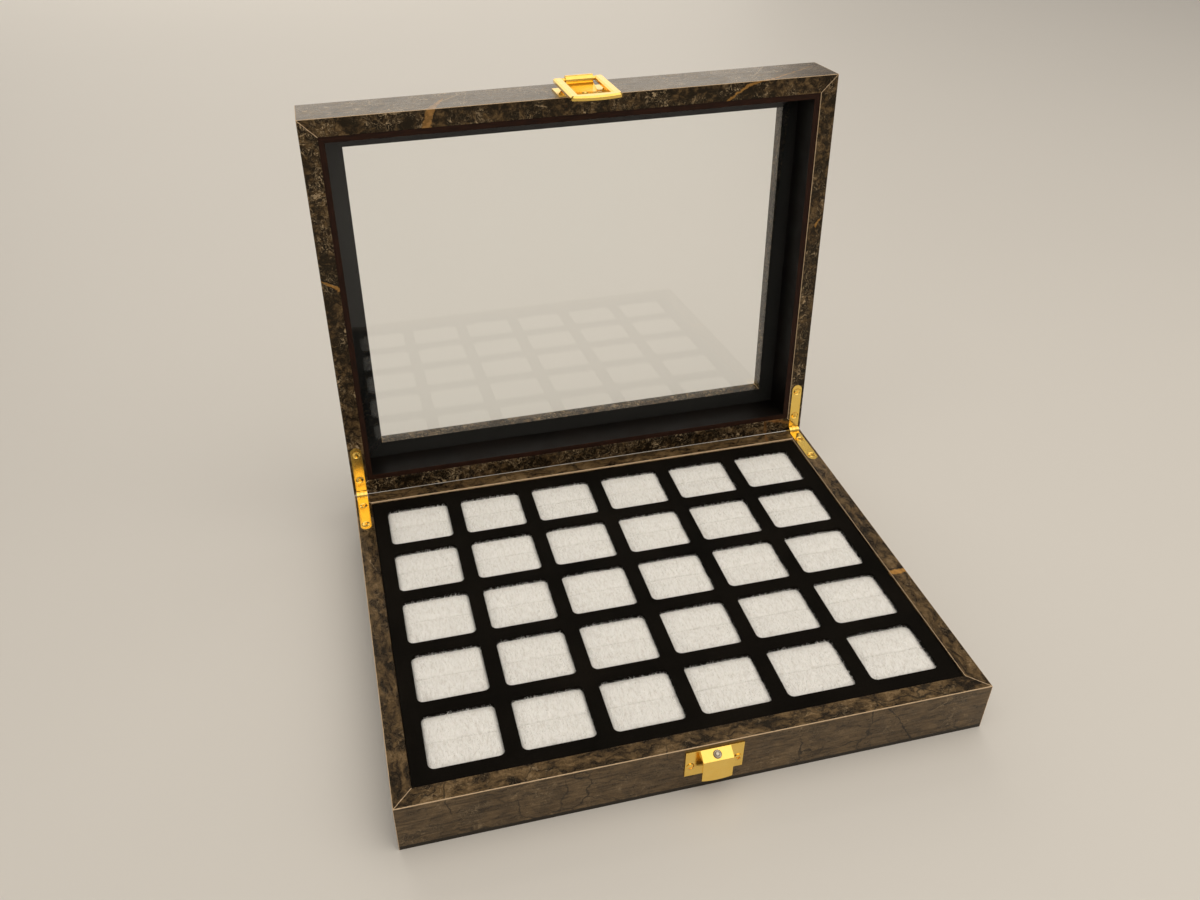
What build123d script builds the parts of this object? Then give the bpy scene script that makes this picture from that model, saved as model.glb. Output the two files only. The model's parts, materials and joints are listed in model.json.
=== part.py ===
from build123d import *
from math import cos, hypot, radians, sin
import os

os.makedirs("parts", exist_ok=True)

# Ring display case with its lid open. Millimetres, +Z up, front at -Y,
# origin at the centre of the base's underside.

# Case
case_width = 280.0
case_depth = 218.0
base_height = 28.5
lid_height = 29.8
rail_thickness = 9.0
rail_bevel = 0.4  # eased edges of every rail, under the foil
lid_gap = 0.2  # between the two rims when the lid is shut
open_angle = 93.4  # from shut to the hinges' stops

# Bottom panel, let into a rebate under the rails
bottom_thickness = 3.0
rebate_width = 4.5
panel_fit = 0.1

# Cell board with a window for each ring pad
board_drop = 1.0  # below the base's rim
board_thickness = 2.7
board_fit = 0.2
board_margin = 8.3
cells_across = 6
cells_deep = 5
web_width = 7.7
window_corner = 1.8  # the corners are cut straight where a 3 mm round would touch

# Ring pads and the ledges beside them
pad_spacing = 1.6
pad_clearance = 0.3
pad_crown = 1.7
pad_slope = 4.5  # width of the slopes round the crown
slit_width = 0.8
slit_depth = 13.0
slit_lip = 1.0  # bevel along the mouth of the slit
ledge_gap = 0.7

# Lid window, glass and liner
flange_width = 20.5
flange_thickness = 8.0
glass_thickness = 2.0
glass_fit = 0.5
liner_thickness = 3.1
liner_recess = 0.5
liner_fit = 0.1

# Side-rail hinges
leaf_width = 6.2
leaf_length = 32.0  # from the pivot to the round end
leaf_thickness = 2.0
leaf_fit = 0.15
leaf_screws = (10.5, 27.5)  # distances from the pivot
knuckle_radius = 2.5
knuckle_gap = 0.2
knuckle_side_gap = 0.1
middle_knuckle = 2.2
heel_wall = 1.2
heel_relief = 0.3
heel_seat_angle = 1.5
stop_slack = 0.2
pin_radius = 1.0
pin_seat = 0.02
pin_running_fit = 0.05

# Countersunk hinge screws
flat_head_radius = 2.2
flat_head_depth = 1.2
flat_screw_length = 10.0
shank_radius = 1.0
shank_fit = 0.05
head_fit = 0.1

# Plates of the latch: the catch on the base and the bracket on the lid
latch_offset = 3.0
plate_width = 27.6
plate_height = 16.0
plate_sheet = 0.8
catch_drop = 2.0  # top of the catch plate below the base's rim
bracket_rise = 1.0  # bottom of the bracket above the lid's rim
tongue_width = 14.4
tongue_sheet = 0.9
ramp_reach = 4.8
ramp_drop = 2.7
tab_length = 13.4
tab_bulge = 0.9

# Latch loop, hung in the bracket's barrel
loop_pivot_height = 15.0  # above the lid's rim
loop_pivot_reach = 4.8  # out from the lid's face
loop_rod_radius = 1.05
loop_running_fit = 0.05
barrel_wall = 1.2
strip_start = 4.5  # where the bracket's middle strip leaves the plate
loop_width = 26.0
loop_side_bar = 4.6
loop_end_bar = 5.6
loop_end_bow = 2.4
loop_overhang = 1.9
loop_thickness = 2.2
loop_corner = 2.2
loop_far_corner = 1.5
loop_bevel = 0.8
loop_tilt = 0.5  # leans in towards the case where it rests
loop_clearance = 0.25

# Latch screws and rivets
plate_screw_offset = 11.3
plate_screw_length = 7.0
catch_screw_radius = 1.85
catch_screw_head = 0.4
catch_screw_drop = 11.5  # below the base's rim
bracket_screw_radius = 1.75
bracket_screw_head = 1.4
bracket_screw_rise = 5.0  # above the lid's rim
catch_rivet_radius = 2.0
catch_rivet_head = 0.9
catch_rivet_length = 1.6
bracket_rivet_radius = 1.4
bracket_rivet_head = 0.7
bracket_rivet_rise = 2.6
bracket_rivet_length = 4.0
rivet_shank = 0.8

# Sizes and places that follow from those above
inner_width = case_width - 2 * rail_thickness
inner_depth = case_depth - 2 * rail_thickness
board_underside = base_height - board_drop - board_thickness
cell_width = (inner_width - 2 * board_margin - (cells_across - 1) * web_width) / cells_across
cell_depth = (inner_depth - 2 * board_margin - (cells_deep - 1) * web_width) / cells_deep
pitch_x = cell_width + web_width
pitch_y = cell_depth + web_width
pad_width = pitch_x - pad_spacing
pad_depth = pitch_y - pad_spacing
ledge_width = board_margin - (web_width - pad_spacing) / 2 - ledge_gap
glass_underside = lid_height - flange_thickness - glass_thickness
heel_inner = knuckle_radius + knuckle_gap
heel_radius = heel_inner + heel_wall
heel_half_angle = (open_angle + stop_slack) / 2
hinge_x = case_width / 2 - rail_thickness / 2
fold_reach = plate_sheet + ramp_reach
fold_drop = catch_drop + ramp_drop
tab_drop = fold_drop + tab_length
loop_inner = loop_clearance + hypot(
    fold_reach - loop_pivot_reach, tab_drop + lid_gap + loop_pivot_height
)
loop_window = loop_width - 2 * loop_side_bar
barrel_bore = loop_rod_radius + loop_running_fit

pivot = Location((0, case_depth / 2, base_height + lid_gap / 2))
swing = Location((0, 0, 0), (-open_angle, 0, 0))
sides = {"front": 0, "right": 90, "back": 180, "left": 270}
hinge_seats = {
    "front": [],
    "right": [hinge_x],
    "back": [-hinge_x, hinge_x],
    "left": [-hinge_x],
}


def save(name, piece):
    piece.part.label = name
    export_step(piece.part, f"parts/{name}.step")


# A plane given about the hinge pivot, as the case lies shut, and moved to where the piece stands
def on_base(plane):
    return Plane(pivot * plane.location)


def on_lid(plane):
    return Plane(pivot * swing * plane.location)


lid_rim = on_lid(Plane((0, -case_depth / 2, lid_gap / 2)))


# Upright section plane of one side: X runs inwards from its outer face, Y runs up
def section_plane(side):
    reach = case_depth / 2 if side in ("front", "back") else case_width / 2
    front_section = Plane((0, -reach, 0), x_dir=(0, 1, 0), z_dir=(1, 0, 0))
    return Plane(Location((0, 0, 0), (0, 0, sides[side])) * front_section.location)


# A mitred strip of one side, in plan, between two insets from the case's outside
def mitred_strip(side, outer, inner):
    along, across = case_width / 2, case_depth / 2
    if side in ("left", "right"):
        along, across = across, along
    with Locations(Location((0, 0, 0), (0, 0, sides[side]))):
        Polygon(
            (-along + outer, -across + outer),
            (along - outer, -across + outer),
            (along - inner, -across + inner),
            (-along + inner, -across + inner),
            align=None,
        )


# A round-ended leaf, in plan about the pivot, up to a given distance from it
def leaf_outline(x, end, grow=0.0):
    tip = -leaf_length + leaf_width / 2
    with Locations((x, tip)):
        Circle(leaf_width / 2 + grow)
    with Locations((x, (tip + end) / 2)):
        Rectangle(leaf_width + 2 * grow, end - tip)


# Where the screws enter a leaf; facing is 1 for the lid's leaf and -1 for the base's
def leaf_screw_planes(place, facing, x):
    return [
        place(Plane((x, -distance, facing * lid_gap / 2), x_dir=(1, 0, 0), z_dir=(0, 0, -facing)))
        for distance in leaf_screws
    ]


# Seat for one leaf in a rim, room for its knuckle, and the screws' pilot holes
def cut_hinge_seat(place, facing, x):
    width = leaf_width + 2 * leaf_fit
    with BuildSketch(place(Plane.XY.offset(facing * (lid_gap / 2 + leaf_thickness)))) as seat:
        leaf_outline(x, heel_radius, leaf_fit)
    extrude(seat.sketch, amount=-facing * (leaf_thickness + lid_gap), mode=Mode.SUBTRACT)
    with BuildSketch(place(Plane.YZ.offset(x - width / 2))) as knuckle_room:
        Circle(heel_radius + heel_relief)
    extrude(knuckle_room.sketch, amount=width, mode=Mode.SUBTRACT)
    with Locations(*leaf_screw_planes(place, facing, x)):
        Hole(shank_radius + shank_fit, flat_screw_length + head_fit)


# Latch planes: profiles run out from the front face and up from the rim; faces look at it squarely
front_of_base = (latch_offset, -case_depth / 2, base_height)
front_of_lid = (latch_offset, -case_depth, lid_gap / 2)
catch_profile = Plane(front_of_base, x_dir=(0, -1, 0), z_dir=(-1, 0, 0))
catch_face = Plane(front_of_base, x_dir=(1, 0, 0), z_dir=(0, -1, 0))
bracket_profile = on_lid(Plane(front_of_lid, x_dir=(0, -1, 0), z_dir=(-1, 0, 0)))
bracket_face = on_lid(Plane(front_of_lid, x_dir=(1, 0, 0), z_dir=(0, -1, 0)))


# Spots on the outside of a latch plate
def on_plate(face, height, *offsets):
    return [Plane(face.location * Location((x, height, plate_sheet))) for x in offsets]


catch_screws_at = on_plate(catch_face, -catch_screw_drop, -plate_screw_offset, plate_screw_offset)
bracket_screws_at = on_plate(
    bracket_face, bracket_screw_rise, -plate_screw_offset, plate_screw_offset
)
bracket_rivet_at = on_plate(bracket_face, bracket_rivet_rise, 0)
catch_rivet_at = Plane(
    (
        latch_offset,
        -case_depth / 2 - plate_sheet - ramp_reach / 2,
        base_height - catch_drop - ramp_drop / 2,
    ),
    x_dir=(1, 0, 0),
    z_dir=(0, -ramp_drop, ramp_reach),
)

# Base rails: rebated section with eased edges, mitred at both ends
for side in sides:
    with BuildPart() as base_rail:
        with BuildSketch(section_plane(side)) as section:
            Polygon(
                (0, 0),
                (rail_thickness - rebate_width, 0),
                (rail_thickness - rebate_width, bottom_thickness),
                (rail_thickness, bottom_thickness),
                (rail_thickness, base_height),
                (0, base_height),
                align=None,
            )
            rim_corners = section.vertices().group_by(Axis.Y)[-1]
            foot_corner = section.vertices().group_by(Axis.Y)[0].sort_by(Axis.X)[0]
            chamfer([*rim_corners, foot_corner], rail_bevel)
        extrude(amount=max(case_width, case_depth) / 2, both=True)
        with BuildSketch():
            mitred_strip(side, 0, rail_thickness)
        extrude(amount=base_height, mode=Mode.INTERSECT)
        for x in hinge_seats[side]:
            cut_hinge_seat(on_base, -1, x)
        if side == "front":
            with Locations(*catch_screws_at):
                Hole(shank_radius + shank_fit, plate_sheet + plate_screw_length)
    save(f"base_{side}_rail", base_rail)

with BuildPart() as bottom_panel:
    with BuildSketch():
        Rectangle(
            inner_width + 2 * (rebate_width - panel_fit),
            inner_depth + 2 * (rebate_width - panel_fit),
        )
    extrude(amount=bottom_thickness)
save("base_bottom_panel", bottom_panel)

for side in sides:
    with BuildPart() as ledge:
        with BuildSketch(Plane.XY.offset(bottom_thickness)):
            mitred_strip(side, rail_thickness, rail_thickness + ledge_width)
        extrude(amount=board_underside - bottom_thickness)
    save(f"board_ledge_{side}", ledge)

with BuildPart() as cell_board:
    with BuildSketch(Plane.XY.offset(board_underside)) as windows:
        with GridLocations(pitch_x, pitch_y, cells_across, cells_deep):
            Rectangle(cell_width, cell_depth)
        chamfer(windows.vertices(), window_corner)
    with BuildSketch(Plane.XY.offset(board_underside)):
        Rectangle(inner_width - 2 * board_fit, inner_depth - 2 * board_fit)
    extrude(amount=board_thickness)
    extrude(windows.sketch, amount=board_thickness, mode=Mode.SUBTRACT)
save("cell_board", cell_board)

# One ring pad: shoulders under the board, a crown that swells into the window, and a slit for the ring
shoulder = board_underside - pad_clearance
crown_top = shoulder + pad_crown
lip_end = slit_width / 2 + slit_lip

with BuildPart() as ring_pad:
    with BuildSketch(Plane.YZ):
        with BuildLine():
            for turn in (-1, 1):
                Polyline(
                    (0, crown_top - slit_depth),
                    (turn * slit_width / 2, crown_top - slit_depth),
                    (turn * slit_width / 2, crown_top - slit_lip),
                    (turn * lip_end, crown_top),
                )
                Polyline(
                    (turn * lip_end, crown_top),
                    (turn * (cell_depth / 2 - pad_slope), crown_top - pad_crown / 4),
                    (turn * cell_depth / 2, shoulder),
                    (turn * pad_depth / 2, shoulder),
                    (turn * pad_depth / 2, bottom_thickness),
                    (0, bottom_thickness),
                )
        make_face()
    extrude(amount=pad_width / 2, both=True)
    with BuildSketch(Plane.XZ):
        with BuildLine():
            Polyline(
                (-cell_width / 2, shoulder),
                (-cell_width / 2 + pad_slope, crown_top),
                (cell_width / 2 - pad_slope, crown_top),
                (cell_width / 2, shoulder),
                (pad_width / 2, shoulder),
                (pad_width / 2, bottom_thickness),
                (-pad_width / 2, bottom_thickness),
                (-pad_width / 2, shoulder),
                (-cell_width / 2, shoulder),
            )
        make_face()
    extrude(amount=pad_depth, both=True, mode=Mode.INTERSECT)

for row in range(cells_deep):
    row_y = (row - (cells_deep - 1) / 2) * pitch_y
    with BuildPart() as pad_row:
        with Locations((0, row_y)):
            with GridLocations(pitch_x, pitch_y, cells_across, 1):
                add(ring_pad.part)
    save(f"ring_pads_row_{row + 1}", pad_row)

# Lid rails: a wall and a flange that frames the window, in one mitred section
for side in sides:
    with BuildPart() as lid_rail:
        with BuildSketch(Plane(lid_rim.location * section_plane(side).location)) as section:
            Polygon(
                (0, 0),
                (rail_thickness, 0),
                (rail_thickness, lid_height - flange_thickness),
                (flange_width, lid_height - flange_thickness),
                (flange_width, lid_height),
                (0, lid_height),
                align=None,
            )
            outer_corners = section.vertices().group_by(Axis.Y)
            chamfer([*outer_corners[0], *outer_corners[-1]], rail_bevel)
        extrude(amount=max(case_width, case_depth) / 2, both=True)
        with BuildSketch(lid_rim):
            mitred_strip(side, 0, flange_width)
        extrude(amount=lid_height, mode=Mode.INTERSECT)
        for x in hinge_seats[side]:
            cut_hinge_seat(on_lid, 1, x)
        if side == "front":
            with Locations(*bracket_screws_at):
                Hole(shank_radius + shank_fit, plate_screw_length + head_fit)
            with Locations(*bracket_rivet_at):
                Hole(rivet_shank + shank_fit, bracket_rivet_length + head_fit)
    save(f"lid_{side}_rail", lid_rail)

with BuildPart() as glass:
    with BuildSketch(lid_rim.offset(glass_underside)):
        Rectangle(inner_width - 2 * glass_fit, inner_depth - 2 * glass_fit)
    extrude(amount=glass_thickness)
save("lid_glass", glass)

for side in sides:
    with BuildPart() as liner:
        with BuildSketch(lid_rim.offset(liner_recess)):
            mitred_strip(side, rail_thickness, rail_thickness + liner_thickness)
        extrude(amount=glass_underside - liner_fit - liner_recess)
    save(f"lid_liner_{side}", liner)


# Sector of a disc about the pivot; angles are measured from the case's back upwards
def pie(radius, start, sweep):
    with BuildLine() as rim:
        arc = CenterArc((0, 0), radius, start, sweep)
        Polyline(arc @ 1, (0, 0), arc @ 0)
    make_face(rim.edges())


# One hinge leaf: the leaf, the heel that meets the other leaf's heel as a stop, its share of the knuckle
def build_leaf(place, facing, x):
    outer_knuckle = (leaf_width - middle_knuckle) / 2 - knuckle_side_gap
    if facing > 0:
        knuckles = [(x - middle_knuckle / 2, middle_knuckle)]
        bore = pin_radius + pin_running_fit
    else:
        far_side = x + leaf_width / 2 - outer_knuckle
        knuckles = [(x - leaf_width / 2, outer_knuckle), (far_side, outer_knuckle)]
        bore = pin_radius + pin_seat
    heel_start = facing * heel_half_angle
    heel_sweep = facing * (180 - heel_seat_angle - heel_half_angle)
    side_plane = place(Plane.YZ.offset(x - leaf_width / 2))
    with BuildPart() as leaf:
        with BuildSketch(place(Plane.XY.offset(facing * lid_gap / 2))):
            leaf_outline(x, -heel_inner)
        extrude(amount=facing * leaf_thickness)
        with BuildSketch(side_plane):
            pie(heel_radius, heel_start, heel_sweep)
            Circle(heel_inner, mode=Mode.SUBTRACT)
        extrude(amount=leaf_width)
        for edge, width in knuckles:
            with BuildSketch(place(Plane.YZ.offset(edge))):
                pie(heel_radius, heel_start, heel_sweep)
                Circle(knuckle_radius)
            extrude(amount=width)
        with BuildSketch(side_plane):
            Circle(bore)
        extrude(amount=leaf_width, mode=Mode.SUBTRACT)
        with Locations(*leaf_screw_planes(place, facing, x)):
            CounterSinkHole(
                shank_radius + 3 * shank_fit, flat_head_radius + head_fit, 2 * leaf_thickness, 90
            )
    return leaf


with BuildPart() as flat_screw:
    with BuildSketch(Plane.XZ):
        with BuildLine():
            Polyline(
                (0, -head_fit / 2),
                (flat_head_radius - head_fit / 2, -head_fit / 2),
                (shank_radius, -flat_head_depth - head_fit / 2),
                (shank_radius, -flat_screw_length),
                (0, -flat_screw_length),
                close=True,
            )
        make_face()
    revolve(axis=Axis.Z)


# Round head on a shank: the screws and rivets of the latch
def build_fastener(head_radius, head_height, shank, length):
    with BuildPart() as fastener:
        with BuildSketch():
            Circle(head_radius)
        extrude(amount=head_height)
        with BuildSketch():
            Circle(shank)
        extrude(amount=-length)
    return fastener


def save_copies(name, fastener, places):
    with BuildPart() as copies:
        with Locations(*places):
            add(fastener.part)
    save(name, copies)


for owner, place, facing in (("base", on_base, -1), ("lid", on_lid, 1)):
    for name, x in (("left", -hinge_x), ("right", hinge_x)):
        save(f"hinge_{name}_{owner}_leaf", build_leaf(place, facing, x))
    screws_at = [leaf_screw_planes(place, facing, x) for x in (-hinge_x, hinge_x)]
    save_copies(f"hinge_{owner}_screws", flat_screw, sum(screws_at, []))

for name, x in (("left", -hinge_x), ("right", hinge_x)):
    with BuildPart() as hinge_pin:
        with BuildSketch(on_base(Plane.YZ.offset(x - leaf_width / 2))):
            Circle(pin_radius)
        extrude(amount=leaf_width)
    save(f"hinge_{name}_pin", hinge_pin)

# Catch plate: a tongue lanced out of the plate as a ramp and a hanging tab, closed under the ramp by gussets
with BuildPart() as catch_plate:
    with BuildSketch(catch_profile):
        Polygon(
            (plate_sheet, -catch_drop),
            (fold_reach, -fold_drop),
            (fold_reach, -tab_drop),
            (fold_reach - tongue_sheet, -tab_drop),
            (fold_reach - tongue_sheet, -fold_drop),
            (0, -catch_drop),
            align=None,
        )
    extrude(amount=tongue_width / 2, both=True)
    with BuildSketch(catch_face):
        with BuildLine():
            end = ThreePointArc(
                (-tongue_width / 2, tab_bulge - tab_drop),
                (0, -tab_drop),
                (tongue_width / 2, tab_bulge - tab_drop),
            )
            Polyline(end @ 1, (tongue_width / 2, 0), (-tongue_width / 2, 0), end @ 0)
        make_face()
    extrude(amount=fold_reach, mode=Mode.INTERSECT)
    for edge in (-tongue_width / 2, tongue_width / 2 - tongue_sheet):
        with BuildSketch(catch_profile.offset(edge)):
            Polygon(
                (0, -catch_drop),
                (fold_reach - tongue_sheet / 2, -fold_drop),
                (0, -fold_drop - ramp_drop / 2),
                align=None,
            )
        extrude(amount=tongue_sheet)
    with BuildSketch(catch_face):
        with Locations((0, -catch_drop - plate_height / 2)):
            Rectangle(plate_width, plate_height)
    extrude(amount=plate_sheet)
    with Locations(*catch_screws_at):
        Hole(shank_radius + shank_fit, 2 * plate_sheet)
    with Locations(catch_rivet_at):
        Hole(rivet_shank + shank_fit, 2 * tongue_sheet)
save("catch_plate", catch_plate)

# Latch bracket: a plate whose middle strip rises into the barrel
with BuildPart() as latch_bracket:
    with BuildSketch(bracket_profile):
        Polygon(
            (plate_sheet, strip_start),
            (loop_pivot_reach - barrel_bore, loop_pivot_height),
            (loop_pivot_reach - barrel_bore - tongue_sheet, loop_pivot_height),
            (0, strip_start),
            align=None,
        )
        with Locations((loop_pivot_reach, loop_pivot_height)):
            Circle(barrel_bore + barrel_wall)
            Circle(barrel_bore, mode=Mode.SUBTRACT)
    extrude(amount=tongue_width / 2, both=True)
    with BuildSketch(bracket_face):
        with Locations((0, bracket_rise + plate_height / 2)):
            Rectangle(plate_width, plate_height)
    extrude(amount=plate_sheet)
    with Locations(*bracket_screws_at):
        Hole(shank_radius + shank_fit, 2 * plate_sheet)
    with Locations(*bracket_rivet_at):
        Hole(rivet_shank + shank_fit, 2 * plate_sheet)
save("latch_bracket", latch_bracket)

# Latch loop: X along the rod, Y from the rod to the free end, Z towards the case
lean = radians(loop_tilt)
loop_plane = on_lid(
    Plane(
        (latch_offset, -case_depth - loop_pivot_reach, lid_gap / 2 + loop_pivot_height),
        x_dir=(1, 0, 0),
        z_dir=(0, cos(lean), sin(lean)),
    )
)
with BuildPart() as latch_loop:
    with BuildSketch(loop_plane.offset(-loop_thickness / 2)) as ring:
        with BuildLine():
            free_end = ThreePointArc(
                (-loop_width / 2, loop_inner + loop_end_bar - loop_end_bow),
                (0, loop_inner + loop_end_bar),
                (loop_width / 2, loop_inner + loop_end_bar - loop_end_bow),
            )
            Polyline(
                free_end @ 1,
                (loop_width / 2, -loop_overhang),
                (-loop_width / 2, -loop_overhang),
                free_end @ 0,
            )
        make_face()
        ends = ring.vertices().group_by(Axis.Y)
        fillet(ends[-1], loop_corner)
        fillet(ends[0], loop_far_corner)
        with Locations((0, (loop_inner - loop_overhang) / 2)):
            Rectangle(loop_window, loop_inner + loop_overhang, mode=Mode.SUBTRACT)
    extrude(amount=loop_thickness)
    outward = Axis(loop_plane.origin, -loop_plane.z_dir)
    chamfer(latch_loop.faces().sort_by(outward)[-1].edges(), loop_bevel)
    with BuildSketch(Plane(loop_plane.origin, x_dir=loop_plane.y_dir, z_dir=loop_plane.x_dir)):
        Circle(loop_rod_radius)
    extrude(amount=(loop_window + loop_side_bar) / 2, both=True)
save("latch_loop", latch_loop)

catch_screw = build_fastener(
    catch_screw_radius, catch_screw_head, shank_radius, plate_screw_length
)
save_copies("catch_screws", catch_screw, catch_screws_at)
bracket_screw = build_fastener(
    bracket_screw_radius, bracket_screw_head, shank_radius, plate_screw_length
)
save_copies("latch_bracket_screws", bracket_screw, bracket_screws_at)
catch_rivet = build_fastener(
    catch_rivet_radius, catch_rivet_head, rivet_shank, catch_rivet_length
)
save_copies("catch_rivet", catch_rivet, [catch_rivet_at])
bracket_rivet = build_fastener(
    bracket_rivet_radius, bracket_rivet_head, rivet_shank, bracket_rivet_length
)
save_copies("latch_bracket_rivet", bracket_rivet, bracket_rivet_at)
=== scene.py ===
import json
import math

import bmesh
import bpy
from mathutils import Euler, Matrix, Vector, noise


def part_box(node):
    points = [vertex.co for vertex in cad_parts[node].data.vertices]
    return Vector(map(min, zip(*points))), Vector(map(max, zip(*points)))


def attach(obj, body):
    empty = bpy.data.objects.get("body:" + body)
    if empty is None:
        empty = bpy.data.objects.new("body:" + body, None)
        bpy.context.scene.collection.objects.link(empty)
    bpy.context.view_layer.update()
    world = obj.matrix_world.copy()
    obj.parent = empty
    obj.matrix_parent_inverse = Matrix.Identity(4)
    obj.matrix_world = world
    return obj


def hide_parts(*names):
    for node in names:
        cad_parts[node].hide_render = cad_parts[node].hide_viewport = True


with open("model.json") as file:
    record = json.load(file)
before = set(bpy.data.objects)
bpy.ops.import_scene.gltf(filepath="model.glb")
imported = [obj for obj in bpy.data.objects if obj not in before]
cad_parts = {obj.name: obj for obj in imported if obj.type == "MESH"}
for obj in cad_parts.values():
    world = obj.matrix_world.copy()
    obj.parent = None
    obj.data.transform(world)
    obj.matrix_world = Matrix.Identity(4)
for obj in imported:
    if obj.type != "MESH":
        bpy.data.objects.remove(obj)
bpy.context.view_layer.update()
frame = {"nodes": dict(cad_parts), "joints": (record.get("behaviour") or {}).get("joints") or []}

mm = 0.001

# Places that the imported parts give
hingeJoint = next(joint for joint in frame["joints"] if joint["name"] == "lid_hinge")
hingeLine = Vector(hingeJoint["pos_m"])
openAngle = math.radians(hingeJoint["range_deg"][1])
openLid = (
    Matrix.Translation(hingeLine) @ Matrix.Rotation(-openAngle, 4, "X") @ Matrix.Translation(-hingeLine)
)
shutLid = openLid.inverted()
frontLow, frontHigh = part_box("base_front_rail")
caseWidth = frontHigh.x - frontLow.x
caseDepth = -2 * frontLow.y
baseHeight = frontHigh.z
railThickness = frontHigh.y - frontLow.y
lidRim = 2 * hingeLine.z - baseHeight  # height of the lid's rim while it is shut
sideAngles = {"front": 0, "right": 90, "back": 180, "left": 270}


# Node trees: every material and Geometry Nodes tree is put together with these
def addNode(tree, kind, inputs=None, **settings):
    node = tree.nodes.new(kind)
    for name, value in settings.items():
        setattr(node, name, value)
    for key, value in (inputs or {}).items():
        if isinstance(value, bpy.types.NodeSocket):
            tree.links.new(value, node.inputs[key])
        else:
            node.inputs[key].default_value = value
    return node


def mathNode(tree, operation, first, second=0.5, third=0.5, clamp=False):
    inputs = {0: first, 1: second, 2: third}
    return addNode(tree, "ShaderNodeMath", inputs, operation=operation, use_clamp=clamp).outputs[0]


def times(tree, first, second, clamp=False):
    return mathNode(tree, "MULTIPLY", first, second, clamp=clamp)


def vectorMath(tree, operation, first, second=None):
    inputs = {0: first}
    if second is not None:
        inputs["Scale" if operation == "SCALE" else 1] = second
    node = addNode(tree, "ShaderNodeVectorMath", inputs, operation=operation)
    return node.outputs["Value" if operation in ("DOT_PRODUCT", "DISTANCE", "LENGTH") else "Vector"]


def mapRange(tree, value, fromLow, fromHigh, toLow=0.0, toHigh=1.0):
    inputs = {0: value, 1: fromLow, 2: fromHigh, 3: toLow, 4: toHigh}
    return addNode(tree, "ShaderNodeMapRange", inputs).outputs[0]


def separate(tree, vector):
    return addNode(tree, "ShaderNodeSeparateXYZ", {0: vector}).outputs[:3]


def combine(tree, **parts):
    return addNode(tree, "ShaderNodeCombineXYZ", parts).outputs[0]


def colourRamp(tree, factor, stops):
    ramp = addNode(tree, "ShaderNodeValToRGB", {"Fac": factor})
    elements = ramp.color_ramp.elements
    while len(elements) < len(stops):
        elements.new(0.5)
    for element, (position, colour) in zip(elements, stops):
        element.position = position
        element.color = (*colour, 1)
    return ramp.outputs["Color"]


def mixColour(tree, factor, first, second, blend="MIX"):
    first, second = ((*tone, 1) if isinstance(tone, tuple) else tone for tone in (first, second))
    inputs = {0: factor, 6: first, 7: second}
    return addNode(tree, "ShaderNodeMix", inputs, data_type="RGBA", blend_type=blend).outputs[2]


def noiseAt(tree, place, scale, detail=3.0, roughness=0.55, distortion=0.0, output="Fac"):
    sizes = {"Vector": place, "Scale": scale, "Detail": detail, "Roughness": roughness}
    return addNode(tree, "ShaderNodeTexNoise", {**sizes, "Distortion": distortion}).outputs[output]


# Noise of -0.5 to 0.5 in each direction
def wanderAt(tree, place, scale, roughness=0.55):
    wander = noiseAt(tree, place, scale, detail=4.0, roughness=roughness, output="Color")
    return vectorMath(tree, "SUBTRACT", wander, (0.5, 0.5, 0.5))


def feed(tree, shader, **values):
    for label, value in values.items():
        tree.links.new(value, shader.inputs[label.replace("_", " ")])


def roughBump(tree, shader, height, distance, strength):
    sizes = {"Height": height, "Distance": distance, "Strength": strength}
    feed(tree, shader, Normal=addNode(tree, "ShaderNodeBump", sizes).outputs[0])


def storedVector(tree, name):
    return addNode(tree, "ShaderNodeAttribute", attribute_name=name).outputs["Vector"]


# A new material, and a place on its piece: the object's own, or one that the mesh stores
def newMaterial(name, stored=None, **finish):
    material = bpy.data.materials.new(name)
    material.use_nodes = True
    tree = material.node_tree
    shader = tree.nodes["Principled BSDF"]
    for label, value in finish.items():
        shader.inputs[label.replace("_", " ")].default_value = value
    place = storedVector(tree, stored) if stored else addNode(tree, "ShaderNodeTexCoord").outputs["Object"]
    return material, tree, shader, place


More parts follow.
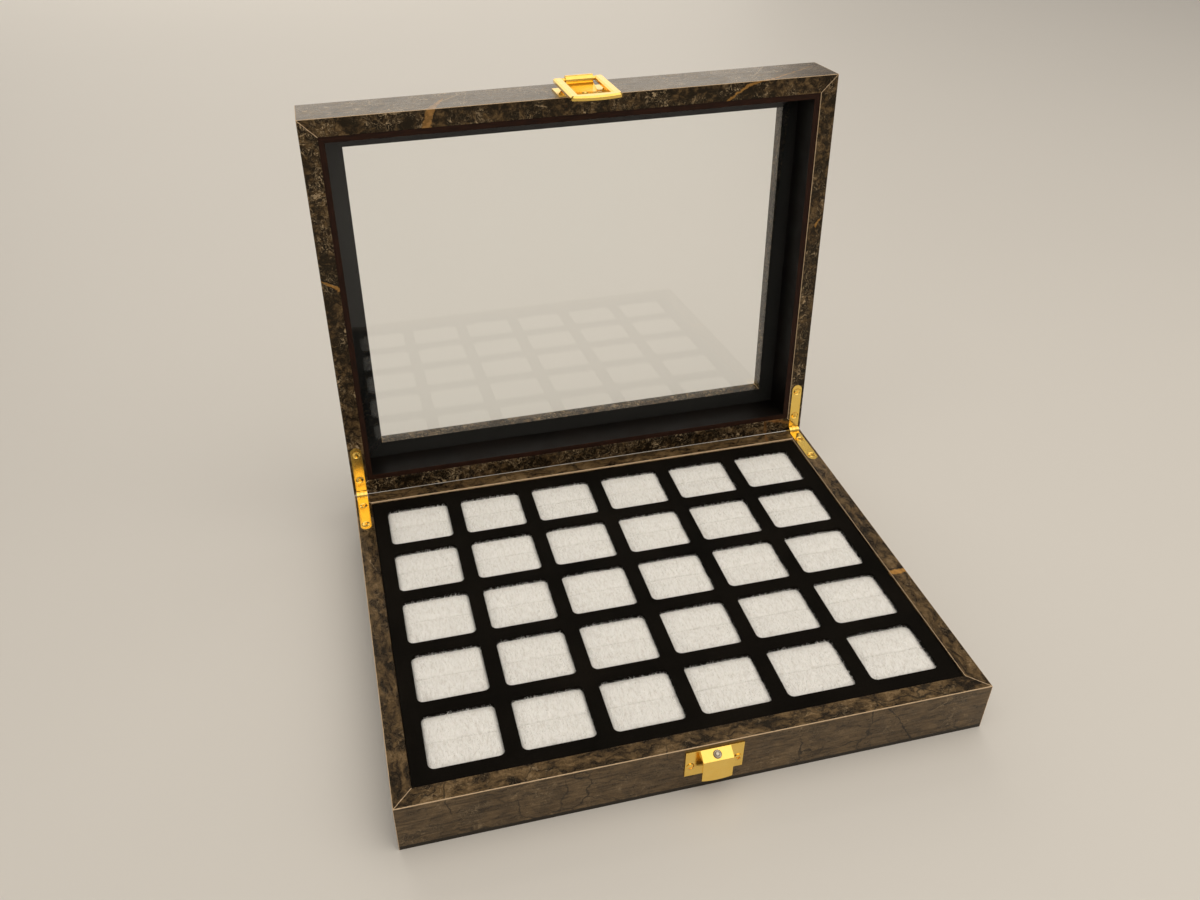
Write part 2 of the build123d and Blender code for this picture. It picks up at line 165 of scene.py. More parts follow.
# Marble-look foil of the rails. Its pattern follows each rail: along it, in from its face, and up.
# Sizes are in mm, and a "grain" is a noise's scale, the spots on one mm.
foil = {
    "shine": 0.31,
    "shineTint": (1.0, 0.82, 0.60, 1),
    "warp": 10.0,  # how far the mottling is swirled
    "warpGrain": 0.11,
    "bodyGrain": 0.30,
    "cloudGrain": 0.045,
    "cloudShare": 0.45,
    # painted shade: how much darker the foil on the lid is made than the same foil on the base
    "lidPaintedShade": 0.09,
    "drawnOut": 0.42,  # how far spots on the base are drawn out along the rail, less being longer
    "tones": [
        (0.34, (0.006, 0.0037, 0.0016)),
        (0.44, (0.026, 0.0155, 0.007)),
        (0.52, (0.092, 0.056, 0.0235)),
        (0.62, (0.155, 0.098, 0.045)),
        (0.76, (0.265, 0.178, 0.092)),
    ],
    "streakStretch": (0.05, 0.6, 0.6),
    "streakGrain": 1.3,
    "streakShare": 0.6,
    "streakTones": [
        (0.38, (0.026, 0.016, 0.008)),
        (0.50, (0.098, 0.065, 0.034)),
        (0.64, (0.185, 0.128, 0.072)),
    ],
    "patchGrain": 0.07,
    "patchLimits": (0.44, 0.62),
    "curlShare": (0.25, 0.5),  # on the base, and how much more on the lid
    "curlGrain": 0.15,
    "curls": ((0.43, 0.010), (0.56, 0.012)),  # heights in the noise that they follow, and their widths
    "flakeGrain": 0.42,
    "flakeLimits": (0.60, 0.68),
    "crackSize": 26.0,
    "crackWidths": (0.004, 0.022),  # shares of a crack's cell
    "grainSize": 0.6,
    "veinWander": 2.6,
    "darkFoot": 2.4,  # height of the dark band along the foot of the base
    "mitreLine": 0.11,
    "cutEdgeAndHighlight": (0.60, 0.44, 0.28),  # the pale core of the foil where it is cut, also used for a painted highlight along the base's back rim
    "gold": (0.50, 0.25, 0.06),
    "tan": (0.40, 0.21, 0.065),
    "brown": (0.20, 0.10, 0.035),
    "rust": (0.27, 0.125, 0.04),
    "cream": (0.50, 0.37, 0.22),
    "dark": (0.008, 0.006, 0.004),
}
# Veins in place on one rail: (along the rail, in from its outer edge) of both ends, less than 0 being
# down its outer face; then the width at both ends, all in mm
veins = [
    ("lidFront", "tan", (-79, 10), (-75.3, -0.5), (4.2, 4.8)),
    ("lidFront", "tan", (-75.3, -0.5), (-67, -18), (4.4, 1.0)),
    ("lidFront", "cream", (-70, -11), (-53.4, -29.5), (0.9, 0.7)),
    ("lidFront", "cream", (-53.4, -29), (-59, -2.5), (0.6, 0.4)),
    ("lidFront", "gold", (77, 10), (83, 6), (1.8, 1.0)),
    ("lidFront", "gold", (83, 6), (89, 2.3), (1.0, 1.8)),
    ("lidFront", "gold", (89, 2.3), (104, -1.8), (1.8, 1.5)),
    ("lidFront", "gold", (104, -1.8), (137, -23), (1.5, 0.6)),
    ("lidFront", "cream", (93.6, -6), (110, -30), (0.7, 0.9)),
    ("lidLeft", "dark", (27.4, 0), (22.6, 9), (1.6, 1.2)),
    ("lidLeft", "gold", (26, 0.4), (20.7, 9), (1.0, 2.6)),
    ("lidRight", "gold", (-31, 1.4), (-26, 4.4), (0.7, 1.8)),
    ("baseRight", "dark", (-24.0, 9.5), (-24.4, 0), (1.2, 1.0)),
    ("baseRight", "gold", (-26.6, 9.5), (-26.6, -1), (3.6, 3.2)),
    ("baseRight", "gold", (-26.6, -1), (-31, -26), (3.2, 0.8)),
    ("lidBack", "brown", (-116.1, 9.5), (-116.8, -0.5), (2.2, 1.6)),
    ("baseBack", "brown", (-116.8, -0.5), (-114.5, 9.5), (1.6, 2.0)),
    ("lidBack", "rust", (-118, 9.6), (-134, 5.4), (2.4, 2.0)),
    ("lidBack", "cream", (-125, 7), (-129, 1.5), (0.5, 0.3)),
    ("baseFront", "dark", (79, 9.5), (86, 1), (0.7, 1.0)),
    ("baseFront", "dark", (86, 1), (94, -10), (1.0, 0.8)),
    ("baseFront", "dark", (94, -10), (104, -28), (0.8, 1.3)),
    ("baseFront", "dark", (104, 9.5), (117, -0.3), (0.8, 1.1)),
    ("baseFront", "cream", (109, -9.5), (119.7, -3.6), (0.4, 0.6)),
    ("baseFront", "dark", (-122, 9), (-95, 1), (0.4, 0.5)),
    ("baseFront", "dark", (-95, 1), (-84, -26), (0.5, 0.3)),
    ("baseLeft", "dark", (63.3, 0), (57.6, 9.2), (0.5, 0.6)),
    ("baseLeft", "dark", (63.3, 0), (93, 2.6), (0.5, 0.3)),
    ("baseLeft", "dark", (93, 2.6), (76.6, 9.2), (0.4, 0.6)),
    ("baseLeft", "cream", (-50.5, 3.9), (-41.2, 7), (0.5, 0.5)),
]
railNumbers = {
    name: number
    for number, name in enumerate(
        f"{part}{side.capitalize()}" for part in ("base", "lid") for side in sideAngles
    )
}


# How strongly a vein shows at a place on the unrolled foil
def veinMask(tree, place, number, ragged, rail, start, end, widths):
    run = Vector((end[0] - start[0], end[1] - start[1], 0))
    aside = vectorMath(tree, "SUBTRACT", place, (*start, 0))
    share = vectorMath(tree, "DOT_PRODUCT", aside, tuple(run / run.length_squared))
    share = mathNode(tree, "ADD", share, 0.0, clamp=True)
    nearest = vectorMath(tree, "SCALE", tuple(run), share)
    away = vectorMath(tree, "DISTANCE", aside, nearest)
    width = mathNode(tree, "MULTIPLY_ADD", share, (widths[1] - widths[0]) / 2, widths[0] / 2)
    line = mathNode(tree, "SUBTRACT", times(tree, width, ragged), away)
    line = times(tree, line, 2.5, clamp=True)
    onRail = mathNode(tree, "COMPARE", number, float(railNumbers[rail]), 0.5)
    return times(tree, line, onRail)


def addVeins(tree, colour, place, body, number, along, across):
    wander = vectorMath(tree, "MULTIPLY", wanderAt(tree, place, 0.4, 0.6), (foil["veinWander"],) * 2 + (0.0,))
    unrolled = vectorMath(tree, "ADD", combine(tree, X=along, Y=across), wander)
    ragged = mathNode(tree, "MULTIPLY_ADD", noiseAt(tree, place, 0.9), 1.2, 0.4)
    uneven = mapRange(tree, body, 0.35, 0.6)
    for rail, tone, start, end, widths in veins:
        line = veinMask(tree, unrolled, number, ragged, rail, start, end, widths)
        tone = mixColour(tree, uneven, tuple(0.5 * value for value in foil[tone]), foil[tone])
        colour = mixColour(tree, line, colour, tone)
    return colour


def makeMarbleFoil():
    material, tree, shader, railPlace = newMaterial(
        "marbleFoil", "railPlace", Specular_IOR_Level=foil["shine"], Specular_Tint=foil["shineTint"]
    )
    along, inward, up = separate(tree, railPlace)
    halfLength, edgeHeight, number = separate(tree, storedVector(tree, "railFacts"))
    outerLine, innerLine, _ = separate(tree, storedVector(tree, "railLines"))
    onLid = mathNode(tree, "GREATER_THAN", number, 3.5)

    # Place swirled by coarse noise, different on every rail
    place = vectorMath(tree, "ADD", railPlace, vectorMath(tree, "SCALE", (37.0, 23.0, 11.0), number))
    swirl = vectorMath(tree, "MULTIPLY", wanderAt(tree, place, foil["warpGrain"]), (foil["warp"],) * 3)
    swirled = vectorMath(tree, "ADD", place, swirl)

    # Mottling from near black to grey-brown, in clouds, drawn out along the rails of the base
    drawn = mathNode(tree, "MULTIPLY_ADD", onLid, 1 - foil["drawnOut"], foil["drawnOut"])
    stretched = vectorMath(tree, "MULTIPLY", swirled, combine(tree, X=drawn, Y=1.0, Z=1.0))
    body = noiseAt(tree, stretched, foil["bodyGrain"], detail=9.0, roughness=0.68)
    clouds = noiseAt(tree, place, foil["cloudGrain"])
    body = mathNode(tree, "MULTIPLY_ADD", mathNode(tree, "SUBTRACT", clouds, 0.5), foil["cloudShare"], body)
    # Painted shade: the lid's foil is made darker than the base's
    body = mathNode(tree, "MULTIPLY_ADD", onLid, -foil["lidPaintedShade"], body)
    colour = colourRamp(tree, body, foil["tones"])

    # Streaks along the rail on its outer face
    streakPlace = vectorMath(tree, "MULTIPLY", place, foil["streakStretch"])
    streaks = noiseAt(tree, streakPlace, foil["streakGrain"], detail=7.0, roughness=0.7)
    onFace = times(tree, mathNode(tree, "LESS_THAN", inward, 0.3), foil["streakShare"])
    colour = mixColour(tree, onFace, colour, colourRamp(tree, streaks, foil["streakTones"]))

    # Pale curls and flakes like small fossils, in patches and most of all on the lid
    patches = mapRange(tree, noiseAt(tree, place, foil["patchGrain"]), *foil["patchLimits"])
    onBase, lidMore = foil["curlShare"]
    strength = times(tree, patches, mathNode(tree, "MULTIPLY_ADD", onLid, lidMore, onBase))
    curls = noiseAt(tree, swirled, foil["curlGrain"], detail=2.0, roughness=0.5, distortion=1.5)
    for level, width in foil["curls"]:
        away = mathNode(tree, "ABSOLUTE", mathNode(tree, "SUBTRACT", curls, level))
        curl = mapRange(tree, away, 0.2 * width, width, 1.0, 0.0)
        colour = mixColour(tree, times(tree, curl, strength), colour, foil["cream"])
    flakes = noiseAt(tree, swirled, foil["flakeGrain"], detail=2.0, distortion=0.8)
    flakes = times(tree, mapRange(tree, flakes, *foil["flakeLimits"]), strength)
    colour = mixColour(tree, flakes, colour, foil["cream"])

    # Dark cracks, in part
    crackInputs = {"Vector": swirled, "Scale": 1 / foil["crackSize"]}
    cracks = addNode(tree, "ShaderNodeTexVoronoi", crackInputs, feature="DISTANCE_TO_EDGE")
    crack = mapRange(tree, cracks.outputs["Distance"], *foil["crackWidths"], 0.9, 0.0)
    crack = times(tree, crack, mapRange(tree, clouds, 0.4, 0.6))
    colour = mixColour(tree, crack, colour, foil["dark"])

    # Fine grain over everything
    grain = noiseAt(tree, place, 1 / foil["grainSize"])
    colour = mixColour(tree, 1.0, colour, mapRange(tree, grain, 0.3, 0.7, 0.7, 1.3), blend="MULTIPLY")

    # The veins, on the foil unrolled over the outer top edge
    rise = mathNode(tree, "SUBTRACT", up, edgeHeight)
    across = mathNode(tree, "SUBTRACT", inward, mathNode(tree, "ABSOLUTE", rise))
    colour = addVeins(tree, colour, place, body, number, along, across)

    # The dark foot, then the foil's cut edges: the mitres, and the lines along the rails; the line along the
    # base's back rim is a painted highlight
    broken = noiseAt(tree, place, 0.6, detail=2.0)
    foot = mathNode(tree, "MULTIPLY_ADD", broken, 0.8, foil["darkFoot"] - 0.4)
    foot = mathNode(tree, "SUBTRACT", mathNode(tree, "LESS_THAN", up, foot), onLid, clamp=True)
    colour = mixColour(tree, foot, colour, foil["dark"])
    mitre = mathNode(tree, "ADD", mathNode(tree, "ABSOLUTE", along), inward)
    mitre = times(tree, mathNode(tree, "SUBTRACT", halfLength, mitre), broken)
    cut = mathNode(tree, "LESS_THAN", mitre, foil["mitreLine"])
    for width, edge in ((outerLine, 0.0), (innerLine, railThickness / mm)):
        aside = mathNode(tree, "SUBTRACT", inward, edge)
        square = times(tree, aside, aside)
        distance = mathNode(tree, "SQRT", mathNode(tree, "MULTIPLY_ADD", rise, rise, square))
        reach = times(tree, width, mathNode(tree, "ADD", broken, 0.5))
        cut = mathNode(tree, "MAXIMUM", cut, mathNode(tree, "LESS_THAN", distance, reach))
    colour = mixColour(tree, cut, colour, foil["cutEdgeAndHighlight"])

    gloss = mathNode(tree, "MULTIPLY_ADD", cut, 0.35, mapRange(tree, body, 0.3, 0.7, 0.24, 0.38))
    feed(tree, shader, Base_Color=colour, Roughness=gloss)
    height = mathNode(tree, "MULTIPLY_ADD", grain, 0.15, noiseAt(tree, place, 0.35, detail=2.0))
    roughBump(tree, shader, height, 0.00012, 0.35)
    return material


# Gold plating of the hinges and the latch, with faint polishing marks
def makePlating(name, pale, deep, roughness):
    material, tree, shader, place = newMaterial(name, Metallic=1.0)
    tone = mixColour(tree, noiseAt(tree, place, 260.0), pale, deep)
    marks = noiseAt(tree, vectorMath(tree, "MULTIPLY", place, (1.0, 0.25, 0.25)), 5200.0, detail=2.0)
    worn = mapRange(tree, marks, 0.3, 0.7, roughness * 0.7, roughness * 1.5)
    feed(tree, shader, Base_Color=tone, Roughness=worn)
    dents = noiseAt(tree, place, 420.0, detail=2.0)
    roughBump(tree, shader, mathNode(tree, "MULTIPLY_ADD", marks, 0.08, dents), 0.00003, 0.5)
    return material


# White plush: streaks as the pile lies, and small pits darkened with painted shade
plush = {
    "tones": [(0.30, (0.80, 0.775, 0.74)), (0.48, (0.93, 0.92, 0.90)), (0.70, (0.98, 0.975, 0.965))],
    "pitShade": (0.50, 0.46, 0.42),
    "pitShadeStrength": 0.45,
}


def makePlush():
    material, tree, shader, place = newMaterial(
        "whitePlush", Roughness=0.95, Sheen_Weight=0.4, Sheen_Roughness=0.5
    )
    streakPlace = vectorMath(tree, "MULTIPLY", place, (1.0, 0.3, 1.0))
    streaks = noiseAt(tree, streakPlace, 900.0, detail=4.0, roughness=0.65)
    # painted shade in small pits of the pile
    shadedPits = noiseAt(tree, vectorMath(tree, "MULTIPLY", place, (1.0, 0.6, 1.0)), 1500.0, detail=2.0)
    shadedPits = mapRange(tree, shadedPits, 0.66, 0.74, 0.0, plush["pitShadeStrength"])
    tone = mixColour(tree, shadedPits, colourRamp(tree, streaks, plush["tones"]), plush["pitShade"])
    feed(tree, shader, Base_Color=tone)
    roughBump(tree, shader, streaks, 0.0006, 0.6)
    return material


# Black flock on the cell board
def makeBlackFlock():
    material, tree, shader, place = newMaterial("blackFlock", Roughness=0.85, Specular_IOR_Level=0.06)
    flock = noiseAt(tree, place, 2600.0)
    tone = colourRamp(tree, times(tree, flock, noiseAt(tree, place, 30.0)), [
        (0.1, (0.002, 0.0016, 0.001)),
        (0.5, (0.010, 0.0075, 0.005)),
    ])
    feed(tree, shader, Base_Color=tone)
    roughBump(tree, shader, flock, 0.00015, 0.4)
    return material


# Dark-faced strips behind the glass, whose cut edge at the rim is red-brown
linerTones = {
    "face": [(0.35, (0.002, 0.0015, 0.001)), (0.65, (0.006, 0.004, 0.003))],
    "edge": [(0.3, (0.012, 0.005, 0.003)), (0.7, (0.034, 0.012, 0.006))],
    "edgeHeight": 0.75,  # mm above the rim
}


def makeLinerBoard():
    material, tree, shader, railPlace = newMaterial("linerBoard", "railPlace", Specular_IOR_Level=0.12)
    _, _, up = separate(tree, railPlace)
    cloud = noiseAt(tree, railPlace, 0.05, detail=5.0)
    fibres = noiseAt(tree, vectorMath(tree, "MULTIPLY", railPlace, (0.15, 1.5, 1.5)), 1.0, detail=5.0)
    atRim = mathNode(tree, "LESS_THAN", up, linerTones["edgeHeight"])
    face, edge = colourRamp(tree, cloud, linerTones["face"]), colourRamp(tree, fibres, linerTones["edge"])
    worn = mapRange(tree, cloud, 0.3, 0.7, 0.42, 0.62)
    feed(tree, shader, Base_Color=mixColour(tree, atRim, face, edge), Roughness=worn)
    roughBump(tree, shader, fibres, 0.0001, 0.3)
    return material


# Clear pane, which lets the lamps through to what stands behind it
def makeClearGlass():
    material, tree, shader, place = newMaterial("clearGlass", Transmission_Weight=1.0, IOR=1.42)
    smear = noiseAt(tree, place, 9.0, detail=4.0)
    worn = mapRange(tree, smear, 0.45, 0.8, 0.0, 0.03)
    tint = colourRamp(tree, smear, [(0.3, (0.97, 0.985, 0.98)), (0.7, (0.985, 0.99, 0.985))])
    feed(tree, shader, Base_Color=tint, Roughness=worn)
    through = addNode(tree, "ShaderNodeBsdfTransparent", {"Color": (0.93, 0.95, 0.94, 1)})
    lamps = addNode(tree, "ShaderNodeLightPath").outputs["Is Shadow Ray"]
    blend = addNode(tree, "ShaderNodeMixShader", {0: lamps, 1: shader.outputs[0], 2: through.outputs[0]})
    tree.links.new(blend.outputs[0], tree.nodes["Material Output"].inputs["Surface"])
    return material


# Bare fibreboard of the ledges, and the black paper under the base
def makeBoard(name, pale, dark, roughness):
    material, tree, shader, place = newMaterial(name, Roughness=roughness)
    fibres = noiseAt(tree, place, 900.0, detail=5.0, roughness=0.7)
    feed(tree, shader, Base_Color=colourRamp(tree, fibres, [(0.3, dark), (0.7, pale)]))
    roughBump(tree, shader, fibres, 0.00008, 0.3)
    return material


marbleFoil = makeMarbleFoil()
goldPlating = makePlating("goldPlating", (1.0, 0.72, 0.20), (0.94, 0.61, 0.12), 0.16)
nickelPlating = makePlating("nickelPlating", (0.66, 0.60, 0.51), (0.42, 0.37, 0.30), 0.22)
whitePlush = makePlush()
blackFlock = makeBlackFlock()
linerBoard = makeLinerBoard()
clearGlass = makeClearGlass()
bareBoard = makeBoard("bareBoard", (0.42, 0.32, 0.21), (0.27, 0.19, 0.12), 0.85)
blackPaper = makeBoard("blackPaper", (0.006, 0.005, 0.004), (0.003, 0.003, 0.002), 0.7)
print("materials made")


# Pieces
def newPiece(name, data):
    piece = bpy.data.objects.new(name, data)
    bpy.context.scene.collection.objects.link(piece)
    return piece


def pieceFromShape(name, shape):
    mesh = bpy.data.meshes.new(name)
    bmesh.ops.recalc_face_normals(shape, faces=shape.faces)
    shape.to_mesh(mesh)
    shape.free()
    return newPiece(name, mesh)


# Turns what the modifiers make into the piece's own plain mesh
def settle(piece):
    bpy.context.view_layer.update()
    depsgraph = bpy.context.evaluated_depsgraph_get()
    mesh = bpy.data.meshes.new_from_object(
        piece.evaluated_get(depsgraph), preserve_all_data_layers=True, depsgraph=depsgraph
    )
    piece.modifiers.clear()
    piece.data = mesh
    return piece


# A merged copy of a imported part, with its flat faces whole again
mergeReach = 0.001 * mm
flatWithin = math.radians(0.5)


def cleanCopy(node, name):
    shape = bmesh.new()
    shape.from_mesh(frame["nodes"][node].data)
    bmesh.ops.remove_doubles(shape, verts=shape.verts, dist=mergeReach)
    bmesh.ops.dissolve_limit(
        shape, angle_limit=flatWithin, verts=shape.verts, edges=shape.edges, use_dissolve_boundaries=False
    )
    return pieceFromShape(name, shape)


def shadeSmooth(piece, sharpFrom):
    piece.data.shade_smooth()
    piece.data.set_sharp_from_angle(angle=math.radians(sharpFrom))


def smoothEdges(piece, width, segments=2, angle=30):
    bevel = piece.modifiers.new("softEdges", "BEVEL")
    bevel.width = width
    bevel.segments = segments
    bevel.limit_method = "ANGLE"
    bevel.angle_limit = math.radians(angle)
    shadeSmooth(settle(piece), angle)
    weighted = piece.modifiers.new("flatFaces", "WEIGHTED_NORMAL")
    weighted.keep_sharp = True
    return settle(piece)


def dress(piece, body, material, slot, *nodes):
    piece.data.materials.clear()
    piece.data.materials.append(material)
    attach(piece, body)
    if nodes:
        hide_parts(*nodes)


def storeVector(mesh, name, values):
    layer = mesh.attributes.new(name, "FLOAT_VECTOR", "POINT")
    layer.data.foreach_set("vector", [number for value in values for number in value])


# Half of a side's length, and how far its face stands from the middle
def sideSizes(side):
    sizes = (caseWidth / 2, caseDepth / 2)
    return sizes if side in ("front", "back") else sizes[::-1]


# Where a point lies in its side's section, in mm: along the side, in from its face, and up
def sectionPlace(point, side, rim):
    facing = Matrix.Rotation(-math.radians(sideAngles[side]), 4, "Z") @ point
    return Vector((facing.x, facing.y + sideSizes(side)[1], facing.z - rim)) / mm


# The same for all of a piece's corners, while the lid is shut
def sectionPlaces(piece, part, side):
    shutting, rim = (shutLid, lidRim) if part == "lid" else (Matrix(), 0.0)
    return [sectionPlace(shutting @ vertex.co, side, rim) for vertex in piece.data.vertices]


rails = {
    "softEdge": 0.06 * mm,
    "packedBevel": 0.4,  # mm, drawn in here to the next value
    "foiledBevel": 0.14,
    "within": {"bevel": 0.03, "mitre": 0.02},  # mm, how near its line a corner has to lie
    "blackBelow": 22.0,  # mm above the lid's rim
    # widths of the cut foil that shows along a rail's outer and inner top edges, in mm; along baseBack's
    # inner edge the line is a painted highlight
    "cutAndHighlightLines": {
        "baseFront": (0.34, 0.0),
        "baseLeft": (0.32, 0.0),
        # painted highlight: the pale line along the inner edge of the base's back rim
        "baseBack": (0.0, 0.65),
        "baseRight": (0.2, 0.24),
        "lidRight": (0.0, 0.3),
        "lidFront": (0.2, 0.0),
    },
}


# The foil lies tight over the rails, so their eased edges show crisper than the bare board's
def tightenEdges(rail, part, side):
    opening, rim = (openLid, lidRim) if part == "lid" else (Matrix(), 0.0)
    half, reach = sideSizes(side)
    half /= mm
    places = sectionPlaces(rail, part, side)
    height = max(place.z for place in places)
    window = max(place.y for place in places)
    turn = Matrix.Rotation(math.radians(sideAngles[side]), 4, "Z")
    for vertex, place in zip(rail.data.vertices, places):
        mitred = abs(half - abs(place.x) - place.y) < rails["within"]["mitre"]
        for index, planes in ((1, (0.0, railThickness / mm, window)), (2, (0.0, height))):
            for plane in planes:
                away = place[index] - plane
                if abs(abs(away) - rails["packedBevel"]) < rails["within"]["bevel"]:
                    place[index] = plane + math.copysign(rails["foiledBevel"], away)
        if mitred:
            place.x = math.copysign(half - place.y, place.x)
        vertex.co = opening @ turn @ Vector((place.x * mm, place.y * mm - reach, place.z * mm + rim))


# The flange's side that faces the glass is black, not foiled
def blackenInside(rail, side):
    rail.data.materials.append(blackPaper)
    for face in rail.data.polygons:
        place = sectionPlace(shutLid @ face.center, side, lidRim)
        if place.y > railThickness / mm + 0.1 and place.z < rails["blackBelow"]:
            face.material_index = 1


for part in ("base", "lid"):
    for side in sideAngles:
        name = f"{part}{side.capitalize()}"
        rail = cleanCopy(f"{part}_{side}_rail", f"{name}Rail")
        tightenEdges(rail, part, side)
        rail = smoothEdges(rail, rails["softEdge"])
        places = sectionPlaces(rail, part, side)
        edgeHeight = baseHeight / mm if part == "base" else 0.0
        facts = (sideSizes(side)[0] / mm, edgeHeight, railNumbers[name])
        lines = (*rails["cutAndHighlightLines"].get(name, (0.0, 0.0)), 0.0)
        storeVector(rail.data, "railPlace", places)
        storeVector(rail.data, "railFacts", [facts] * len(places))
        storeVector(rail.data, "railLines", [lines] * len(places))
        dress(rail, part, marbleFoil, "marble_foil_board", f"{part}_{side}_rail")
        if part == "lid":
            blackenInside(rail, side)
print("rails wrapped")

paneEdges = {"liner": 0.12 * mm, "glass": 0.2 * mm}
for side in sideAngles:
    strip = smoothEdges(cleanCopy(f"lid_liner_{side}", f"liner{side.capitalize()}"), paneEdges["liner"])
    storeVector(strip.data, "railPlace", sectionPlaces(strip, "lid", side))
    dress(strip, "lid", linerBoard, "liner_board", f"lid_liner_{side}")
pane = smoothEdges(cleanCopy("lid_glass", "glassPane"), paneEdges["glass"])
dress(pane, "lid", clearGlass, "clear_glass", "lid_glass")

for node, material in [("base_bottom_panel", blackPaper)] + [
    (f"board_ledge_{side}", bareBoard) for side in sideAngles
]:
    for slot in frame["nodes"][node].material_slots:
        slot.material = material
print("lid glazed")


# Geometry Nodes
def newTree(name, **inputs):
    tree = bpy.data.node_groups.new(name, "GeometryNodeTree")
    tree.interface.new_socket("Geometry", in_out="INPUT", socket_type="NodeSocketGeometry")
    tree.interface.new_socket("Geometry", in_out="OUTPUT", socket_type="NodeSocketGeometry")
    for kind, labels in inputs.items():
        for label in labels:
            tree.interface.new_socket(label, in_out="INPUT", socket_type=f"NodeSocket{kind}")
    return tree, tree.nodes.new("NodeGroupInput").outputs, tree.nodes.new("NodeGroupOutput").inputs


def useTree(piece, tree, values):
    modifier = piece.modifiers.new(tree.name, "NODES")
    modifier.node_group = tree
    sockets = {item.name: item.identifier for item in tree.interface.items_tree if item.in_out == "INPUT"}
    for label, value in values.items():
        modifier[sockets[label]] = value
    settle(piece)


def joined(tree, *shapes):
    join = addNode(tree, "GeometryNodeJoinGeometry")
    for shape in shapes:
        tree.links.new(shape, join.inputs[0])
    return join.outputs[0]


def moved(tree, shape, **parts):
    inputs = {"Geometry": shape, "Translation": combine(tree, **parts)}
    return addNode(tree, "GeometryNodeTransform", inputs).outputs[0]


def namedAttribute(tree, name, kind):
    return addNode(tree, "GeometryNodeInputNamedAttribute", {"Name": name}, data_type=kind).outputs[0]


def turned(tree, rotation, angles):
    turn = addNode(tree, "FunctionNodeEulerToRotation", {0: angles}).outputs[0]
    inputs = {"Rotation": rotation, "Rotate By": turn}
    return addNode(tree, "FunctionNodeRotateRotation", inputs, rotation_space="LOCAL").outputs[0]


# The end of every tree: real geometry in its material
def endTree(tree, shape, given, result):
    real = addNode(tree, "GeometryNodeRealizeInstances", {0: shape})
    inputs = {"Geometry": real.outputs[0], "Material": given["Material"]}
    tree.links.new(addNode(tree, "GeometryNodeSetMaterial", inputs).outputs[0], result[0])
    return tree


# The cell board: rounded windows on a grid, cut out of one sheet
cellBoard = {
    "across": 6,
    "deep": 5,
    "web": 7.7 * mm,
    "margin": 8.1 * mm,
    "corner": 3.0 * mm,
    "cornerSteps": 6,
    "softEdge": 0.35 * mm,
}
boardLow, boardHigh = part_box("cell_board")
boardWidth, boardDepth, boardThickness = boardHigh - boardLow


def cellSize(board, count):
    return (board - 2 * cellBoard["margin"] - (count - 1) * cellBoard["web"]) / count


cellWidth = cellSize(boardWidth, cellBoard["across"])
cellDepth = cellSize(boardDepth, cellBoard["deep"])
pitchAcross = cellWidth + cellBoard["web"]
pitchDeep = cellDepth + cellBoard["web"]


def makeBoardTree():
    tree, given, result = newTree("boardWithWindows", Float=[
        "Board Width", "Board Depth", "Thickness", "Underside", "Cell Width", "Cell Depth",
        "Pitch Across", "Pitch Deep", "Corner",
    ], Int=["Cells Across", "Cells Deep"], Material=["Material"])
    outline, window = (
        addNode(tree, "GeometryNodeCurvePrimitiveQuadrilateral", {
            "Width": given[f"{part} Width"], "Height": given[f"{part} Depth"],
        }) for part in ("Board", "Cell")
    )
    rounded = addNode(tree, "GeometryNodeFilletCurve", {
        "Curve": window.outputs[0], "Count": cellBoard["cornerSteps"], "Radius": given["Corner"],
    }, mode="POLY")
    spans = []
    for count, pitch in (("Cells Across", "Pitch Across"), ("Cells Deep", "Pitch Deep")):
        gaps = mathNode(tree, "SUBTRACT", given[count], 1.0)
        spans.append(times(tree, gaps, given[pitch]))
    grid = addNode(tree, "GeometryNodeMeshGrid", {
        "Size X": spans[0], "Size Y": spans[1],
        "Vertices X": given["Cells Across"], "Vertices Y": given["Cells Deep"],
    })
    windows = addNode(tree, "GeometryNodeInstanceOnPoints", {
        "Points": grid.outputs[0], "Instance": rounded.outputs[0],
    })
    windows = addNode(tree, "GeometryNodeRealizeInstances", {0: windows.outputs[0]})
    outlines = joined(tree, outline.outputs[0], windows.outputs[0])
    sheet = addNode(tree, "GeometryNodeFillCurve", {0: outlines}, mode="NGONS").outputs[0]
    raised = addNode(tree, "GeometryNodeExtrudeMesh", {
        "Mesh": sheet, "Offset": combine(tree, Z=given["Thickness"]), "Individual": False,
    }, mode="FACES")
    under = addNode(tree, "GeometryNodeFlipFaces", {0: sheet})
    closed = joined(tree, raised.outputs[0], under.outputs[0])
    merged = addNode(tree, "GeometryNodeMergeByDistance", {"Geometry": closed, "Distance": 0.01 * mm})
    return endTree(tree, moved(tree, merged.outputs[0], Z=given["Underside"]), given, result)


board = newPiece("windowedBoard", bpy.data.meshes.new("windowedBoard"))
useTree(board, makeBoardTree(), {
    "Board Width": boardWidth, "Board Depth": boardDepth,
    "Thickness": boardThickness, "Underside": boardLow.z,
    "Cells Across": cellBoard["across"], "Cells Deep": cellBoard["deep"],
    "Cell Width": cellWidth, "Cell Depth": cellDepth, "Pitch Across": pitchAcross, "Pitch Deep": pitchDeep,
    "Corner": cellBoard["corner"], "Material": blackFlock,
})
smoothEdges(board, cellBoard["softEdge"], segments=3, angle=50)
dress(board, "base", blackFlock, "black_board", "cell_board")
print("cell board cut")

